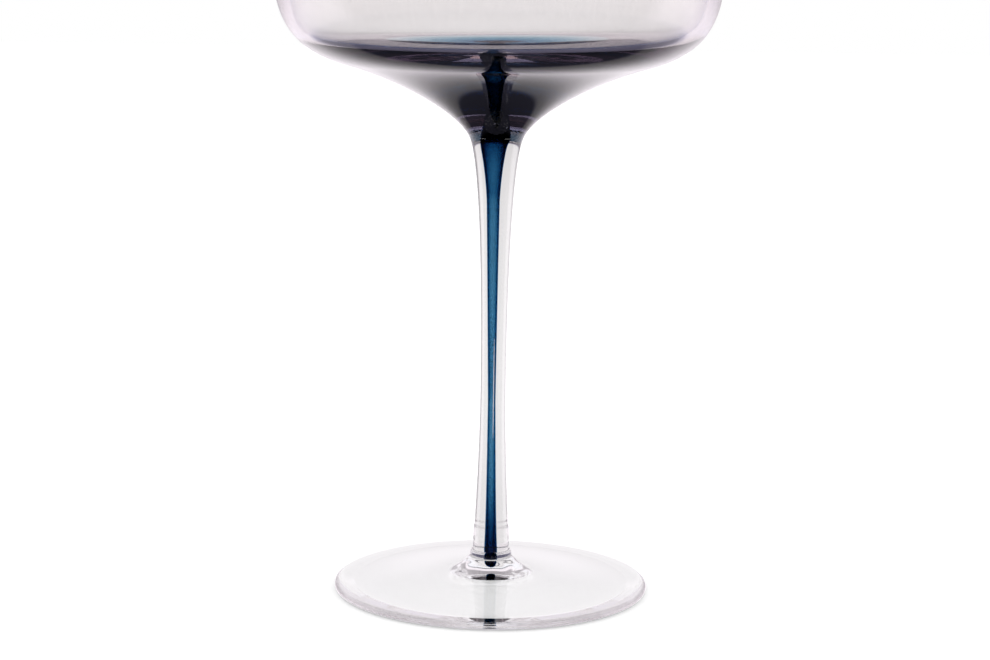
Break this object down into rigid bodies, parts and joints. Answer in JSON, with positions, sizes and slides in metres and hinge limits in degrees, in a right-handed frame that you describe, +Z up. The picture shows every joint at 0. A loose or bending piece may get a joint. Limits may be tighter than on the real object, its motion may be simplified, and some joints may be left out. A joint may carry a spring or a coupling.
{
  "type": "cocktail coupe",
  "caption": "Long-stemmed cocktail coupe with a wide smoke-tinted glass bowl, thick base, clear drawn stem with a blue core, small collar and broad round foot.",
  "frame": {"origin": "centre of the foot's underside, on the surface that the glass stands on", "axes": "+Z up along the glass's axis from foot to rim; X and Y are equal because the glass is round"},
  "size_m": [0.1058, 0.1058, 0.172],
  "materials": {
    "smoke_glass": "polished, pale smoke tint",
    "blue_glass": "deep petrol blue, cased",
    "clear_glass": "polished, nearly colourless"
  },
  "bodies": {
    "root": {"bowl": "smoke_glass", "colour_core": "blue_glass", "stem_casing": "clear_glass", "stem_collar": "clear_glass", "foot": "clear_glass"}
  },
  "joints": []
}
